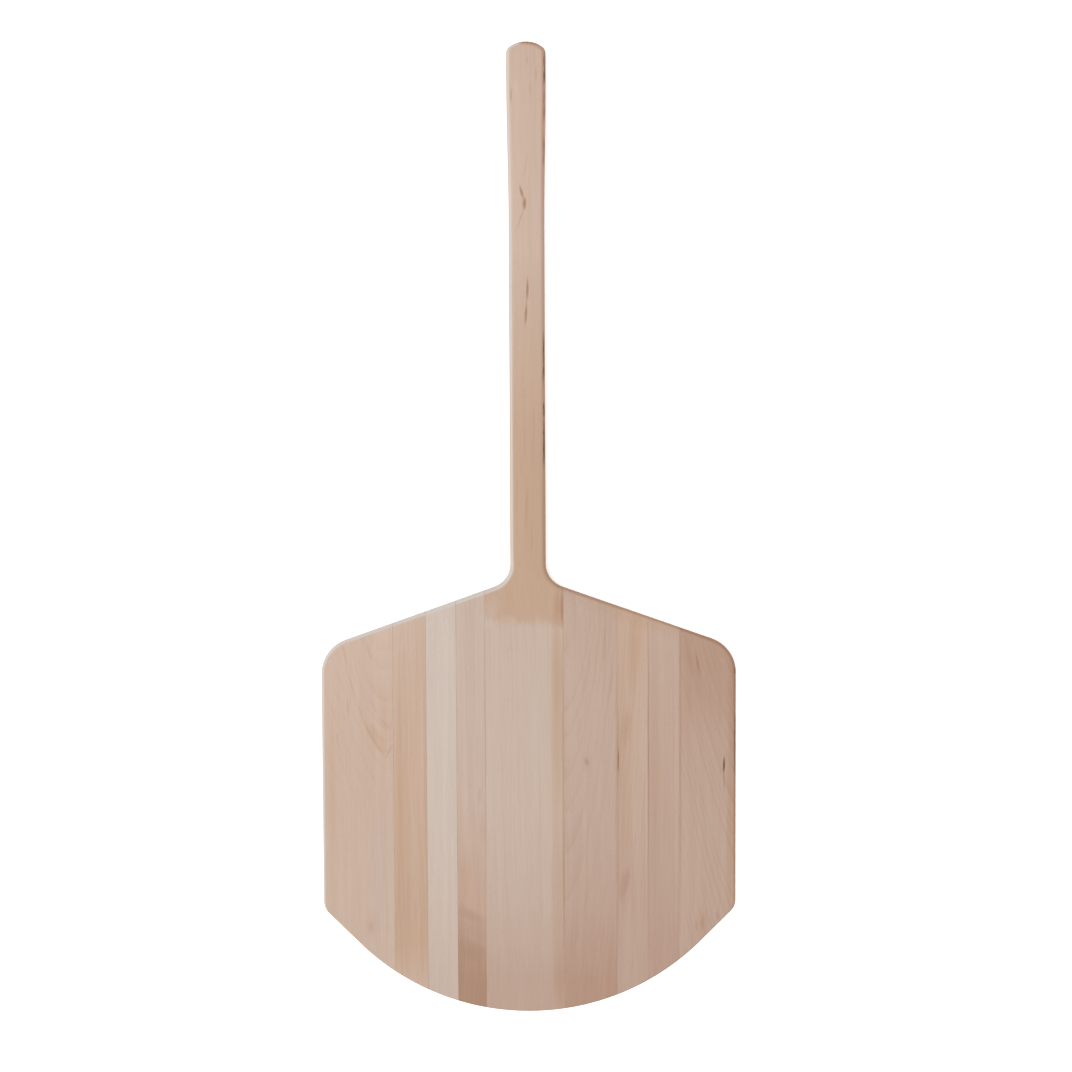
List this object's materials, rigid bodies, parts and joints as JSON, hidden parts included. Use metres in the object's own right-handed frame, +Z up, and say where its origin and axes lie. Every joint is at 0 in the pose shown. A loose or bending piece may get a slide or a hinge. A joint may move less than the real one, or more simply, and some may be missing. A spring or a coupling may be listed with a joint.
{
  "type": "pizza peel",
  "caption": "Flat wooden pizza peel: a square edge-glued blade with clipped front corners, sloping shoulders and a long straight handle.",
  "frame": {"origin": "centre of the blade on its flat underside, half the blade's width behind the tip", "axes": "+Y along the handle from the tip to the grip, +Z up out of the upper face, +X across the blade to the right with the handle pointing away"},
  "size_m": [0.4572, 1.0668, 0.019],
  "materials": {
    "wood_left_edge": "sanded, dry, satin",
    "wood_left_outer": "sanded, dry, satin",
    "wood_left_middle": "sanded, dry, satin",
    "wood_left_inner": "sanded, dry, satin",
    "wood_handle_board": "sanded, dry, satin",
    "wood_right_inner": "sanded, dry, satin",
    "wood_right_middle": "sanded, dry, satin",
    "wood_right_outer": "sanded, dry, satin",
    "wood_right_edge": "sanded, dry, satin",
    "glue": "cured wood glue, satin"
  },
  "bodies": {
    "root": {"left_edge_stave": "wood_left_edge", "left_outer_stave": "wood_left_outer", "left_middle_stave": "wood_left_middle", "left_inner_stave": "wood_left_inner", "handle_board": "wood_handle_board", "right_inner_stave": "wood_right_inner", "right_middle_stave": "wood_right_middle", "right_outer_stave": "wood_right_outer", "right_edge_stave": "wood_right_edge", "glue_left_edge": "glue", "glue_left_outer": "glue", "glue_left_middle": "glue", "glue_left_inner": "glue", "glue_right_inner": "glue", "glue_right_middle": "glue", "glue_right_outer": "glue", "glue_right_edge": "glue"}
  },
  "joints": []
}
